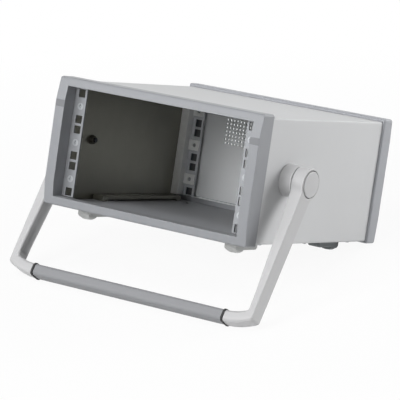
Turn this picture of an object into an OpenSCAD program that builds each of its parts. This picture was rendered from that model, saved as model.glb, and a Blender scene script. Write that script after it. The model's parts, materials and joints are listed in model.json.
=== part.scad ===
// Portable rack case: a 3U, half-width instrument case that stands front-up on its swinging handle.
// Case frame while building: X to the right, Y to the rear from the bezel's front, Z up from the
// middle of the front opening. The whole is then tilted and set on the floor at Z = 0.

/* [Bezels] */
// how far a bezel stands out beside the cover
bezel_over = 3; // [2.6:0.2:5]
// how far a bezel stands out under the cover
bezel_drop = 2.2; // [1.6:0.2:4]
// depth of the front bezel
front_depth = 27; // [25:1:30]
// depth of the rear bezel
rear_depth = 20; // [18:1:22]
// distance from the cover's side to the opening
jamb_w = 10.5; // [10:0.5:12]
// height of the opening beyond three rack units
opening_slack = 1.65; // [1:0.05:3]
// half height of the upright middle facet
facet_half = 50; // [44:1:56]
// how far the top and bottom facets lean back
facet_lean = 4.4; // [3:0.2:8]
// height of the shallow band under the front bezel's upper bend
band_h = 8.5; // [6:0.5:12]
// depth of the shallow band
band_t = 0.4; // [0.2:0.1:1]
// chamfer on the long bezel edges
bezel_chamfer = 1.6; // [0.6:0.2:2]
// depth of the rebate that takes the cover
rebate = 5; // [4:0.5:6]

/* [Body] */
// overall depth of the case
case_depth = 300; // [280:5:340]
// outer width of the cover
body_w = 291; // [262:1:330]
// height of the cover's top over the opening
top_wall = 6.5; // [6:0.5:8]
// distance from the opening down to the cover's underside
floor_wall = 8.5; // [8:0.5:10]
// sheet thickness of cover and base
sheet = 1.5; // [1.2:0.1:1.6]
// outside radius of the cover's top bends
bend_r = 2.5; // [2:0.5:4]
// width of the inturned lips under the base
lip_w = 14; // [12:1:16]
// clearance between cover and bezel rebate
rebate_gap = 0.2; // [0.1:0.05:0.3]
// clearance between the base's long edges and the cover's bends
base_gap = 0.3; // [0.2:0.1:1]
// how far the base stops short of the rear shoulder
base_short = 3; // [2:0.5:5]
// distance of the outer base screws from the ends of the case
base_screw_in = 50; // [45:1:55]

/* [Rack rails] */
// distance from the opening's edge to a column of rack holes
column_in = 10.4; // [9.8:0.1:11]
// height of one rack unit
rack_unit = 44.45; // [44.45:0.01:44.46]
// distance of the square holes from the middle of a unit
square_step = 15.875; // [15.8:0.025:15.95]
// side of the square rack holes
square_hole = 9.5; // [9.2:0.1:9.6]
// thickness of the rail strip
strip_t = 2; // [1.6:0.2:2.4]
// distance from the hole column to the inner edge of the strip
strip_inner = 7.6; // [7:0.2:8.4]
// how far the rails sit behind the outer face of a bezel
rail_recess = 19; // [18:0.5:19.5]
// depth of a rail post along the case
post_depth = 13; // [11:1:15]
// width of a rail post from the side wall inward
post_w = 11; // [10:0.5:12]
// height of a tapped tab
tab_h = 13.5; // [12:0.5:15]
// thickness of a tapped tab
tab_t = 3; // [2.5:0.5:3]
// how far a tab stops short of the strip's inner edge
tab_in = 0.6; // [0.2:0.2:2]
// gap at the edges of a strip in the opening
strip_gap = 0.2; // [0.1:0.1:0.5]
// gap at the ends of a post under the opening's top and bottom
post_gap = 1.5; // [1:0.5:3]
// radius of the rail screw's shank
screw_r = 2.4; // [2:0.1:2.4]
// radius of the rail screw's head
head_r = 4.3; // [3.8:0.1:4.3]
// radial clearance of a countersunk head
sink_gap = 0.1; // [0.05:0.05:0.2]

/* [Rear panel] */
// gap beside the rear panel in the opening
panel_gap = 1.65; // [1:0.05:3]
// height that the rear panel lacks of the opening
panel_slack = 1; // [0.8:0.1:2]
// thickness of the rear panel
panel_t = 2; // [1.5:0.5:3]
// depth of the flanges that hold the panel off the rails
flange_d = 5; // [3:0.5:6]
// radius of the panel screw's head
panel_head_r = 4.6; // [4.2:0.1:4.8]
// spacing of the square vent holes
vent_pitch = 5; // [5:0.5:6]
// side of a square vent hole
vent_hole = 2.2; // [1.8:0.2:3.6]
// columns of vent holes
vent_cols = 35; // [21:2:37]
// rows of vent holes
vent_rows = 8; // [5:1:9]
// height of the lowest vent row over the middle
vent_low = 10; // [6:1:12]

/* [Runners and feet] */
// height of the runner's top above the floor sheet
runner_top = 6.2; // [5:0.2:6.4]
// thickness of the runner bar
runner_t = 4.2; // [3:0.2:4.4]
// width of the runner
runner_w = 16; // [12:1:18]
// distance from the bezel front to the runner's front end
runner_start = 95; // [80:5:120]
// length of a foot
foot_l = 46; // [40:1:50]
// width of a foot
foot_w = 17; // [14:1:20]
// height of a foot's tall end under the base
foot_h = 17; // [15:0.5:19]
// height of a foot's thin end under the base
foot_thin = 13.2; // [11:0.2:14]
// length of a foot's tall end
foot_tall = 15; // [14:0.5:18]
// slope at a foot's tall end, along the case
foot_toe = 6; // [4:0.5:7]
// chamfer along a foot's lower edges
foot_edge = 2.8; // [1:0.2:3]
// distance of a foot's middle from the cover's side
foot_in = 37; // [34:0.5:42]
// distance from a bezel to the nearest foot
foot_gap = 6; // [4:1:10]

/* [Handle] */
// distance of the pivot behind the bezel's front
pivot_y = 78; // [70:1:90]
// height of the pivot over the middle of the opening
pivot_z = 1.5; // [-4:0.5:6]
// length from the pivot to the grip's axis
arm_l = 181; // [172:1:190]
// angle of the arms forward from the case's down direction
arm_angle = 25.7; // [22:0.1:29]
// half width of an arm near the hub
arm_half = 11.5; // [10.5:0.5:12.5]
// radius of the hub
hub_r = 19; // [18.6:0.2:21]
// thickness of the hub
hub_t = 16.1; // [15.6:0.1:17]
// thickness of the arm at its lower corner
arm_t = 9.5; // [9:0.5:12]
// length of the bent stub, from the arm's outer face to the seal ring
stub_l = 37.5; // [34:0.5:40]
// bend radius of the stub's outer side
stub_bend = 82; // [76:1:96]
// radius of the arm's outer corner
corner_r = 5; // [3:0.5:7]
// radius in the arm's inner corner
inner_r = 3; // [2:0.5:5]
// radius of the pivot boss
boss_r = 19.5; // [18.6:0.1:21]
// thickness of the pivot boss
boss_t = 17; // [15:0.5:18]
// gap between boss and hub
hub_gap = 0.4; // [0.3:0.1:0.6]
// radius of the pivot stud
stud_r = 6; // [5:0.5:6.5]
// radius of the stud's threaded end inside the case
thread_r = 3; // [2.5:0.5:4]
// radius of the pivot nut over its corners
nut_r = 5.2; // [4.8:0.2:7]
// height of the pivot nut
nut_h = 4; // [3:0.5:6]
// radial running clearance of the hub on the stud
stud_clear = 0.05; // [0.03:0.01:0.08]
// length of a seal ring
ring_l = 3; // [2:0.5:5]
// how far a seal ring stands proud of the grip
ring_proud = 1.2; // [0.6:0.2:2]
// half height of the grip's section
grip_half_h = 7.2; // [6.6:0.2:8]
// half depth of the grip's section
grip_half_d = 10.4; // [9.6:0.2:11]
// corner radius of the grip's section
grip_corner = 4.5; // [3:0.5:5.5]
// radius of the spigot in ring and grip
spigot_r = 5; // [4:0.5:5]
// length of the spigot inside the grip
spigot_l = 12; // [8:1:16]

/* [Buttons] */
// radius of the visible button cap
cap_r = 15.7; // [15:0.1:15.8]
// radius of the button's guide in the hub
guide_r = 16.62; // [16.6:0.01:16.64]
// radius of the recess in the hub
recess_r = 16.7; // [16.68:0.01:16.72]
// travel of a button
button_travel = 3; // [2:0.5:3]

/* [Hidden] */
$fn = 64;
eps = 0.01;
opening_w = body_w - 2 * jamb_w;
opening_h = 3 * rack_unit + opening_slack;
body_top = opening_h / 2 + top_wall;
body_bottom = opening_h / 2 + floor_wall;
bezel_w = body_w + 2 * bezel_over;
half_w = bezel_w / 2;
bez_top = body_bottom + bezel_drop;
shoulder = front_depth - rebate;
rear_start = case_depth - rear_depth;
rear_shoulder = rear_start + rebate;
wall_in = body_w / 2 - sheet;
floor_z = -body_bottom + 2 * sheet;
lip_z = -body_bottom + sheet;
base_half = wall_in - bend_r + sheet - base_gap;
column = opening_w / 2 - column_in;
strip_in = column - strip_inner;
strip_out = opening_w / 2 - strip_gap;
strip_half = 1.5 * rack_unit - strip_gap;
panel_w = opening_w - 2 * panel_gap;
panel_h = opening_h - panel_slack;
rear_rail = case_depth - rail_recess;
panel_y = rear_rail + flange_d;
post_in = wall_in - post_w;
post_half = opening_h / 2 - post_gap;
runner_end = rear_rail - strip_t - post_depth;
hub_in = body_w / 2 + boss_t + hub_gap;
hub_out = hub_in + hub_t;
stub_x = hub_out - stub_l;
web_t = 4.5;
stud_end = hub_in + web_t + 0.3;
keeper_t = 2;
washer_t = 1.2;
nut_end = wall_in - washer_t - nut_h;
guide_t = 2.5;
guide_low = stud_end + keeper_t + 0.7 + button_travel;
cap_low = guide_low + guide_t;
front_foot = front_depth + foot_gap + 1;
rear_foot = case_depth - front_foot;
foot_x = body_w / 2 - foot_in;
ring_d = grip_half_d + ring_proud;
ring_h = grip_half_h + ring_proud;
ring_r = grip_corner + ring_proud;

// outline of a bezel seen from the side, for a given depth, from the outer face inward
function bezel_outline(depth) = [
    [0, facet_half],
    [facet_lean - bezel_chamfer * 0.2, bez_top - bezel_chamfer],
    [facet_lean + bezel_chamfer * 0.8, bez_top],
    [depth - bezel_chamfer, bez_top],
    [depth, bez_top - bezel_chamfer],
    [depth, -bez_top + bezel_chamfer],
    [depth - bezel_chamfer, -bez_top],
    [facet_lean + bezel_chamfer * 0.8, -bez_top],
    [facet_lean - bezel_chamfer * 0.2, -bez_top + bezel_chamfer],
    [0, -facet_half]
];

// outline of a foot seen from the side: tall end first, measured from its outer end and the base
function foot_outline() = [
    [0, 0],
    [0, -foot_h + foot_toe * 0.8],
    [foot_toe, -foot_h],
    [foot_tall, -foot_h],
    [foot_tall + 2, -foot_thin],
    [foot_l - foot_edge, -foot_thin],
    [foot_l, -foot_thin + foot_edge],
    [foot_l, 0]
];
foot_screw_y = (foot_toe + foot_tall) / 2;

// tilt at which the seal rings' lower corners and the rear feet share one floor
function ring_corner(side) = let (u = side * (ring_d - ring_r), v = -arm_l - ring_h + ring_r) [
    pivot_y + u * cos(arm_angle) + v * sin(arm_angle),
    pivot_z - u * sin(arm_angle) + v * cos(arm_angle)
];
heel = ring_corner(1);
toe = [rear_foot - foot_toe, lip_z - foot_h];
tilt = atan2(toe[1] - heel[1], toe[0] - heel[0]) + asin(ring_r / norm(toe - heel));
lift = toe[0] * sin(tilt) - toe[1] * cos(tilt);
front_most = ring_corner(-1) * [cos(tilt), sin(tilt)] - ring_r;
rear_most = max([for (p = bezel_outline(rear_depth)) (case_depth - p[0]) * cos(tilt) + p[1] * sin(tilt)]);
shift = -(front_most + rear_most) / 2;

bezel_grey = [0.62, 0.63, 0.66];
rear_grey = [0.55, 0.56, 0.59];
case_grey = [0.80, 0.80, 0.79];
zinc = [0.70, 0.71, 0.72];
dark_steel = [0.25, 0.25, 0.26];
black = [0.08, 0.08, 0.08];

// sets the level case on the floor, tilted front-up
module placed() {
    translate([0, shift, lift])
        rotate([-tilt, 0, 0])
            children();
}

// sets handle pieces, built with the pivot at the origin and the arm straight down, into the case
module swung() {
    placed()
        translate([0, pivot_y, pivot_z])
            rotate([-arm_angle, 0, 0])
                children();
}

// mirrors a right-hand piece to the left
module to_left() {
    mirror([1, 0, 0])
        children();
}

// extrudes a drawing in Y and Z along X
module along_x(from, to) {
    translate([from, 0, 0])
        rotate([90, 0, 90])
            linear_extrude(to - from)
                children();
}

// extrudes a drawing in X and Z along Y
module along_y(from, to) {
    translate([0, to, 0])
        rotate([90, 0, 0])
            linear_extrude(to - from)
                children();
}

// round bar along X
module bar_x(from, to, r) {
    translate([from, 0, 0])
        rotate([0, 90, 0])
            cylinder(h = to - from, r = r);
}

// round bar along Y
module bar_y(from, to, r) {
    translate([0, to, 0])
        rotate([90, 0, 0])
            cylinder(h = to - from, r = r);
}

// rectangle with round corners, centred
module round_rect(w, h, r) {
    square([w - 2 * r, h], center = true);
    square([w, h - 2 * r], center = true);
    for (sx = [-1, 1], sz = [-1, 1])
        translate([sx * (w / 2 - r), sz * (h / 2 - r)])
            circle(r);
}

// the body's outline seen from the front, at a distance inside its outer skin
module body_outline(inset) {
    height = body_top + body_bottom - 2 * inset;
    translate([0, (body_top - body_bottom) / 2])
        round_rect(body_w - 2 * inset, height, max(bend_r - inset, 0.5));
}

// one bezel with its outer face at Y = 0
module bezel(depth) {
    difference() {
        along_x(-half_w, half_w)
            polygon(bezel_outline(depth));
        translate([-opening_w / 2, -1, -opening_h / 2])
            cube([opening_w, depth + 2, opening_h]);
        along_y(depth - rebate, depth + 1)
            body_outline(-rebate_gap);
    }
}

module front_bezel() {
    color(bezel_grey)
        placed()
            difference() {
                bezel(front_depth);
                translate([-half_w - 1, -1, facet_half - band_h])
                    cube([bezel_w + 2, 1 + band_t, band_h]);
            }
}

module rear_bezel() {
    color(rear_grey)
        placed()
            translate([0, case_depth, 0])
                mirror([0, 1, 0])
                    bezel(rear_depth);
}

module cover() {
    color(case_grey)
        placed()
            difference() {
                along_y(shoulder, rear_shoulder)
                    difference() {
                        body_outline(0);
                        body_outline(sheet);
                        translate([-body_w / 2 + lip_w, -body_bottom - 1])
                            square([body_w - 2 * lip_w, sheet + 2]);
                    }
                translate([0, pivot_y, pivot_z])
                    bar_x(-body_w, body_w, thread_r + 0.2);
                base_screw_places()
                    cylinder(h = 20, r = 1.7, center = true);
            }
}

module base() {
    color(case_grey)
        placed()
            difference() {
                translate([-base_half, shoulder, lip_z])
                    cube([2 * base_half, rear_shoulder - base_short - shoulder, sheet]);
                base_screw_places()
                    cylinder(h = 20, r = 1.5, center = true);
                foot_screw_places()
                    cylinder(h = 20, r = 2.1, center = true);
            }
}

module rear_panel() {
    color(case_grey)
        placed() {
            along_y(panel_y, panel_y + panel_t)
                difference() {
                    square([panel_w, panel_h], center = true);
                    for (i = [0 : vent_cols - 1], j = [0 : vent_rows - 1])
                        translate([(i - (vent_cols - 1) / 2) * vent_pitch, vent_low + j * vent_pitch])
                            square(vent_hole, center = true);
                    for (sx = [-1, 1], z = unit_heights())
                        translate([sx * column, z])
                            circle(screw_r + 0.35);
                }
            along_y(rear_rail, panel_y + eps)
                difference() {
                    square([panel_w, panel_h], center = true);
                    square([panel_w - 2 * panel_t, panel_h - 2 * panel_t], center = true);
                }
        }
}

// rack hole heights from the middle of the 3U field
function square_heights() = [for (u = [-1, 0, 1], s = [-1, 1]) u * rack_unit + s * square_step];
function unit_heights() = [for (u = [-1, 0, 1]) u * rack_unit];

// drawing of a right-hand rail strip in X and Z
module strip_drawing() {
    difference() {
        translate([strip_in, -strip_half])
            square([strip_out - strip_in, 2 * strip_half]);
        for (z = square_heights())
            translate([column, z])
                square(square_hole, center = true);
        for (z = unit_heights())
            translate([column, z])
                circle(screw_r + 0.35);
    }
}

// right-hand front strip, countersunk for its screws
module front_strip() {
    difference() {
        along_y(rail_recess, rail_recess + strip_t)
            strip_drawing();
        for (z = unit_heights())
            translate([column, rail_recess, z])
                sink(head_r + sink_gap, screw_r + sink_gap);
    }
}

module front_rail_right() {
    color(zinc)
        placed()
            front_strip();
}

module front_rail_left() {
    color(zinc)
        placed()
            to_left()
                front_strip();
}

module rear_rail_right() {
    color(zinc)
        placed()
            along_y(rear_rail - strip_t, rear_rail)
                strip_drawing();
}

module rear_rail_left() {
    color(zinc)
        placed()
            to_left()
                along_y(rear_rail - strip_t, rear_rail)
                    strip_drawing();
}

// right-hand post; the tabs start at tab_y, and the upright runs from post_y by post_depth
module post(post_y, tab_y) {
    difference() {
        union() {
            translate([post_in, post_y, -post_half])
                cube([post_w, post_depth, 2 * post_half]);
            for (z = unit_heights())
                translate([strip_in + tab_in, tab_y, z - tab_h / 2])
                    cube([post_in - strip_in - tab_in + 1, tab_t, tab_h]);
        }
        for (z = unit_heights())
            translate([column, 0, z])
                bar_y(tab_y - 1, tab_y + tab_t + 1, screw_r + 0.1);
    }
}

module front_post_right() {
    color(zinc)
        placed()
            post(shoulder, rail_recess + strip_t);
}

module front_post_left() {
    color(zinc)
        placed()
            to_left()
                post(shoulder, rail_recess + strip_t);
}

module rear_post_right() {
    color(zinc)
        placed()
            post(runner_end, rear_rail - strip_t - tab_t);
}

module rear_post_left() {
    color(zinc)
        placed()
            to_left()
                post(runner_end, rear_rail - strip_t - tab_t);
}

// pan-head screw with a cross recess, seat at the origin, head toward -Y
module pan_screw(shank_r, shank_l, r, h) {
    difference() {
        union() {
            bar_y(-h, 0, r);
            bar_y(-eps, shank_l, shank_r);
        }
        for (a = [0, 90])
            rotate([0, a, 0])
                translate([-r * 0.55, -h - 1, -0.6])
                    cube([r * 1.1, h * 0.6 + 1, 1.2]);
    }
}

// cone of a countersunk head, face at the origin and pointing to +Y
module sink(r, shank_r) {
    rotate([-90, 0, 0])
        cylinder(h = r - shank_r, r1 = r, r2 = shank_r);
}

// countersunk screw with a cross recess, flush with its seat at the origin
module flush_screw(shank_r, shank_l, r) {
    difference() {
        union() {
            sink(r, shank_r);
            bar_y(r - shank_r - eps, shank_l, shank_r);
        }
        for (a = [0, 90])
            rotate([0, a, 0])
                translate([-r * 0.5, -1, -0.6])
                    cube([r, 2.1, 1.2]);
    }
}

module rail_screws() {
    color(zinc)
        placed()
            for (sx = [-1, 1], z = unit_heights())
                translate([sx * column, rail_recess, z])
                    flush_screw(screw_r, strip_t + tab_t + 3, head_r);
}

// right-hand runner: a flat bar on two end blocks
module runner() {
    run_x = wall_in - 2 - runner_w;
    translate([run_x, runner_start, floor_z + runner_top - runner_t])
        cube([runner_w, runner_end - runner_start, runner_t]);
    for (y = [runner_start, runner_end - 10])
        translate([run_x, y, floor_z])
            cube([runner_w, 10, runner_top - runner_t + eps]);
}

module runner_right() {
    color(zinc)
        placed()
            runner();
}

module runner_left() {
    color(zinc)
        placed()
            to_left()
                runner();
}

// places of the foot screws, on the base's underside
module foot_screw_places() {
    for (sx = [-1, 1], y = [front_foot + foot_screw_y, rear_foot - foot_screw_y])
        translate([sx * foot_x, y, lip_z])
            children();
}

// places of the base screws, under the lips
module base_screw_places() {
    for (sx = [-1, 1], y = [base_screw_in, case_depth / 2, case_depth - base_screw_in])
        translate([sx * (body_w / 2 - (lip_w + bend_r) / 2), y, -body_bottom])
            children();
}

// foot with its tall outer end at Y = 0 and its screw recess
module foot() {
    difference() {
        intersection() {
            along_x(-foot_w / 2, foot_w / 2)
                polygon(foot_outline());
            along_y(-1, foot_l + 1)
                polygon([
                    [-foot_w / 2, 1],
                    [-foot_w / 2, -foot_h + foot_edge],
                    [-foot_w / 2 + foot_edge * 1.3, -foot_h],
                    [foot_w / 2 - foot_edge * 1.3, -foot_h],
                    [foot_w / 2, -foot_h + foot_edge],
                    [foot_w / 2, 1]
                ]);
        }
        translate([0, foot_screw_y, -foot_h - 1])
            cylinder(h = foot_h - 7, r = 4.3);
        translate([0, foot_screw_y, -foot_h - 1])
            cylinder(h = foot_h + 2, r = 2.1);
    }
}

module foot_front_left() {
    color(case_grey)
        placed()
            translate([-foot_x, front_foot, lip_z])
                foot();
}

module foot_front_right() {
    color(case_grey)
        placed()
            translate([foot_x, front_foot, lip_z])
                foot();
}

module foot_rear_left() {
    color(case_grey)
        placed()
            translate([-foot_x, rear_foot, lip_z])
                mirror([0, 1, 0])
                    foot();
}

module foot_rear_right() {
    color(case_grey)
        placed()
            translate([foot_x, rear_foot, lip_z])
                mirror([0, 1, 0])
                    foot();
}

module foot_screws() {
    color(dark_steel)
        placed()
            foot_screw_places()
                translate([0, 0, -8])
                    rotate([90, 0, 0])
                        pan_screw(2, 10, 3.8, 2.4);
}

module base_screws() {
    color(zinc)
        placed()
            base_screw_places()
                rotate([90, 0, 0])
                    pan_screw(1.4, 2 * sheet + 0.6, 3, 1.8);
}

module panel_screws() {
    color(zinc)
        placed()
            for (sx = [-1, 1], z = unit_heights())
                translate([sx * column, panel_y + panel_t, z])
                    mirror([0, 1, 0])
                        pan_screw(screw_r, panel_t + flange_d + strip_t + tab_t - 0.6, panel_head_r, 2.8);
}

// right-hand pieces of the pivot, with the pivot axis at the origin
module boss() {
    difference() {
        bar_x(body_w / 2, body_w / 2 + boss_t, boss_r);
        bar_x(body_w / 2 - 1, body_w / 2 + boss_t + 1, stud_r);
    }
}

module stud() {
    difference() {
        union() {
            bar_x(nut_end - 2, body_w / 2 + eps, thread_r);
            bar_x(body_w / 2, stud_end, stud_r);
        }
        bar_x(stud_end - 12.5, stud_end + 1, 2.5);
    }
}

module pivot_nut() {
    difference() {
        union() {
            bar_x(wall_in - washer_t, wall_in, nut_r + 0.8);
            translate([nut_end, 0, 0])
                rotate([0, 90, 0])
                    cylinder(h = nut_h + eps, r = nut_r, $fn = 6);
        }
        bar_x(nut_end - 1, wall_in + 1, thread_r);
    }
}

module keeper() {
    difference() {
        union() {
            bar_x(stud_end, stud_end + keeper_t, 9);
            bar_x(stud_end - 12, stud_end + eps, 2.4);
        }
        translate([stud_end + keeper_t - 1, 0, 0])
            rotate([0, 90, 0])
                cylinder(h = 2, r = 3, $fn = 6);
    }
}

// puts pivot pieces at the pivot of the case
module at_pivot() {
    placed()
        translate([0, pivot_y, pivot_z])
            children();
}

module boss_right() {
    color(case_grey)
        at_pivot()
            boss();
}

module boss_left() {
    color(case_grey)
        at_pivot()
            to_left()
                boss();
}

module stud_right() {
    color(dark_steel)
        at_pivot()
            stud();
}

module stud_left() {
    color(dark_steel)
        at_pivot()
            to_left()
                stud();
}

module pivot_nuts() {
    color(dark_steel)
        at_pivot() {
            pivot_nut();
            to_left()
                pivot_nut();
        }
}

module keeper_screws() {
    color(dark_steel)
        at_pivot() {
            keeper();
            to_left()
                keeper();
        }
}

// side outline of an arm in Y and Z, pivot at the origin
module arm_side() {
    circle(hub_r);
    polygon([
        [-arm_half, 0],
        [-arm_half, -arm_l * 0.3],
        [-grip_half_d, -arm_l],
        [grip_half_d, -arm_l],
        [arm_half, -arm_l * 0.3],
        [arm_half, 0]
    ]);
    translate([0, -arm_l])
        round_rect(2 * grip_half_d, 2 * grip_half_h, grip_corner);
}

// middle of the stub's bend in X and Z, and the point at a radius from it towards another point
function bend_middle() = [stub_x, -arm_l - grip_half_h + stub_bend];
function from_bend(point, r) = bend_middle() + (point - bend_middle()) * r / norm(point - bend_middle());

// middle of a circle that touches a line at X and the bend at a radius, from their inner side
function touching(x, radius, r) = [
    x - r,
    bend_middle()[1] - sqrt(pow(radius - r, 2) - pow(x - r - stub_x, 2))
];

// front outline of a right-hand arm in X and Z: a tapered upright and a stub that bends to the grip
module arm_front() {
    inner = hub_out - arm_t;
    bend_in = stub_bend - 2 * grip_half_h;
    outer_corner = touching(hub_out, stub_bend, corner_r);
    inner_corner = touching(inner, bend_in, inner_r);
    meet = bend_middle()[1] - sqrt(pow(bend_in, 2) - pow(inner - stub_x, 2));
    polygon([
        [hub_in, hub_r + 1],
        [hub_in, -hub_r - 4],
        [inner, -arm_l + stub_l * 0.8],
        [inner, meet - 3],
        [hub_out, meet - 3],
        [hub_out, hub_r + 1]
    ]);
    difference() {
        intersection() {
            translate(bend_middle())
                circle(stub_bend);
            translate([stub_x, bend_middle()[1] - stub_bend - 1])
                square([stub_l, meet + 4 - bend_middle()[1] + stub_bend + 1]);
        }
        translate(bend_middle())
            circle(bend_in);
        difference() {
            polygon([
                outer_corner,
                [hub_out + 1, outer_corner[1]],
                [hub_out + 1, from_bend(outer_corner, stub_bend + 3)[1]],
                from_bend(outer_corner, stub_bend + 3)
            ]);
            translate(outer_corner)
                circle(corner_r);
        }
    }
    difference() {
        polygon([
            inner_corner,
            [inner + eps, inner_corner[1]],
            [inner + eps, meet - 1],
            from_bend(inner_corner, bend_in + 0.5)
        ]);
        translate(inner_corner)
            circle(inner_r);
    }
}

// what is cut away to round the stub's lower edges along its bend
module stub_rounding() {
    translate([stub_x, 0, bend_middle()[1]])
        rotate([90, 0, 0])
            rotate([0, 0, -90])
                for (side = [-1, 1])
                    rotate_extrude(angle = 45)
                        translate([stub_bend - grip_corner, side * (grip_half_d - grip_corner)])
                            difference() {
                                translate([0, side > 0 ? 0 : -grip_corner - 1])
                                    square([grip_corner + 1, grip_corner + 1]);
                                circle(grip_corner);
                            }
}

// right-hand arm with its bore, its button recess and the spigot for ring and grip
module arm() {
    difference() {
        union() {
            intersection() {
                along_x(stub_x - 1, hub_out + 1)
                    arm_side();
                along_y(-hub_r - 1, hub_r + 1)
                    arm_front();
            }
            translate([0, 0, -arm_l])
                bar_x(stub_x - ring_l - spigot_l, stub_x + eps, spigot_r);
        }
        stub_rounding();
        bar_x(hub_in - 1, hub_out + 1, stud_r + stud_clear);
        bar_x(hub_in + web_t, hub_out + 1, recess_r);
    }
}

module arm_right() {
    color(case_grey)
        swung()
            arm();
}

module arm_left() {
    color(case_grey)
        swung()
            to_left()
                arm();
}

module grip() {
    ends = stub_x - ring_l;
    color(bezel_grey)
        swung()
            translate([0, 0, -arm_l])
                difference() {
                    along_x(-ends, ends)
                        round_rect(2 * grip_half_d, 2 * grip_half_h, grip_corner);
                    for (sx = [-1, 1])
                        translate([sx * ends, 0, 0])
                            bar_x(-spigot_l, spigot_l, spigot_r);
                }
}

// right-hand seal ring between stub and grip
module seal_ring() {
    translate([0, 0, -arm_l])
        difference() {
            along_x(stub_x - ring_l, stub_x)
                round_rect(2 * ring_d, 2 * ring_h, ring_r);
            bar_x(stub_x - ring_l - 1, stub_x + 1, spigot_r);
        }
}

module ring_right() {
    color(black)
        swung()
            seal_ring();
}

module ring_left() {
    color(black)
        swung()
            to_left()
                seal_ring();
}

// right-hand push-button: a guide disc in the recess and a cap flush with the hub
module button() {
    bar_x(guide_low, cap_low, guide_r);
    bar_x(cap_low - eps, hub_out - 0.8, cap_r);
    translate([hub_out - 0.8 - eps, 0, 0])
        rotate([0, 90, 0])
            cylinder(h = 0.8 + eps, r1 = cap_r, r2 = cap_r - 0.8);
}

module button_right() {
    color(case_grey)
        swung()
            button();
}

module button_left() {
    color(case_grey)
        swung()
            to_left()
                button();
}

front_bezel();
rear_bezel();
cover();
base();
rear_panel();
front_rail_left();
front_rail_right();
rear_rail_left();
rear_rail_right();
front_post_left();
front_post_right();
rear_post_left();
rear_post_right();
rail_screws();
runner_left();
runner_right();
foot_front_left();
foot_front_right();
foot_rear_left();
foot_rear_right();
foot_screws();
base_screws();
panel_screws();
boss_left();
boss_right();
stud_left();
stud_right();
pivot_nuts();
keeper_screws();
arm_left();
arm_right();
grip();
ring_left();
ring_right();
button_left();
button_right();
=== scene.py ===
import json
import math

import bmesh
import bpy
from bpy.props import FloatProperty, FloatVectorProperty, PointerProperty
from mathutils import Matrix, Vector


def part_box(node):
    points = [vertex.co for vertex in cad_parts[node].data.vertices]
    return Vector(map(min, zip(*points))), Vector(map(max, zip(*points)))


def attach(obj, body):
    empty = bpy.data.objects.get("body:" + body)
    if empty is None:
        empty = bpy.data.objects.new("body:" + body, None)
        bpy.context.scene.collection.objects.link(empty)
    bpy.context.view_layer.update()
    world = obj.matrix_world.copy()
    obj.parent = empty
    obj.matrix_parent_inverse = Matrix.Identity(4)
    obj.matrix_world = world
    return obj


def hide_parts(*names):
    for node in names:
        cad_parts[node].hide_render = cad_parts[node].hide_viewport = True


bl_info = {
    "name": "Portable rack case",
    "version": (1, 0, 0),
    "blender": (4, 5, 0),
    "location": "View3D > Sidebar > Rack case",
    "description": "Finishes the solids of a portable rack case with a swinging handle",
    "category": "Object",
}

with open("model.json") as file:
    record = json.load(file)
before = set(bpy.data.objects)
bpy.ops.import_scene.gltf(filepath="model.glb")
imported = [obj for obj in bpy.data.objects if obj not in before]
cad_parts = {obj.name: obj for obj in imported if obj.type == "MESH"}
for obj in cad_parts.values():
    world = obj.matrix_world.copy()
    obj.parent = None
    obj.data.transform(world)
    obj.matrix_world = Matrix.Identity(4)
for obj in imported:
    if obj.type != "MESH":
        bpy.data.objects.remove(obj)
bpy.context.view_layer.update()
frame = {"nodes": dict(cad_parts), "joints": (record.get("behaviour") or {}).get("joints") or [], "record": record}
MM = 0.001
FACING = 0.5  # least part of a face's normal that counts as facing that way


def linear(code):
    """Turns an sRGB hex colour into linear light."""
    parts = [int(code[i:i + 2], 16) / 255 for i in (1, 3, 5)]
    return tuple(c / 12.92 if c <= 0.04045 else ((c + 0.055) / 1.055) ** 2.4 for c in parts)


# The case stands tilted. In the level case frame X is to the right, Y runs to the rear from the
# bezel's front and Z is up from the middle of the opening; CASE takes that frame to the floor's.
PIVOT_IN_CASE = Vector((0, 78, 1.5)) * MM
SWING = next(j for j in frame["joints"] if j["name"] == "handle_swing")
FACE = next(m for m in frame["record"]["mounts"] if m["name"] == "front_rail_left_face")
TILT = math.atan2(FACE["axis"][2], -FACE["axis"][1])
CASE = (Matrix.Translation(Vector(SWING["pos_m"])) @ Matrix.Rotation(-TILT, 4, "X")
        @ Matrix.Translation(-PIVOT_IN_CASE))


def case_box(node):
    """Lowest and highest corner of a solid in the level case frame."""
    back = CASE.inverted()
    points = [back @ v.co for v in frame["nodes"][node].data.vertices]
    return (Vector(min(p[i] for p in points) for i in range(3)),
            Vector(max(p[i] for p in points) for i in range(3)))


# In the handle's frame the pivot is at the origin and the arms hang straight down; HANDLE takes it
# to the floor's.
REACH = PIVOT_IN_CASE - sum(case_box("grip"), Vector()) / 2
ARM_LENGTH = math.hypot(REACH.y, REACH.z)
HANDLE = (CASE @ Matrix.Translation(PIVOT_IN_CASE)
          @ Matrix.Rotation(-math.atan2(REACH.y, REACH.z), 4, "X"))


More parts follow.
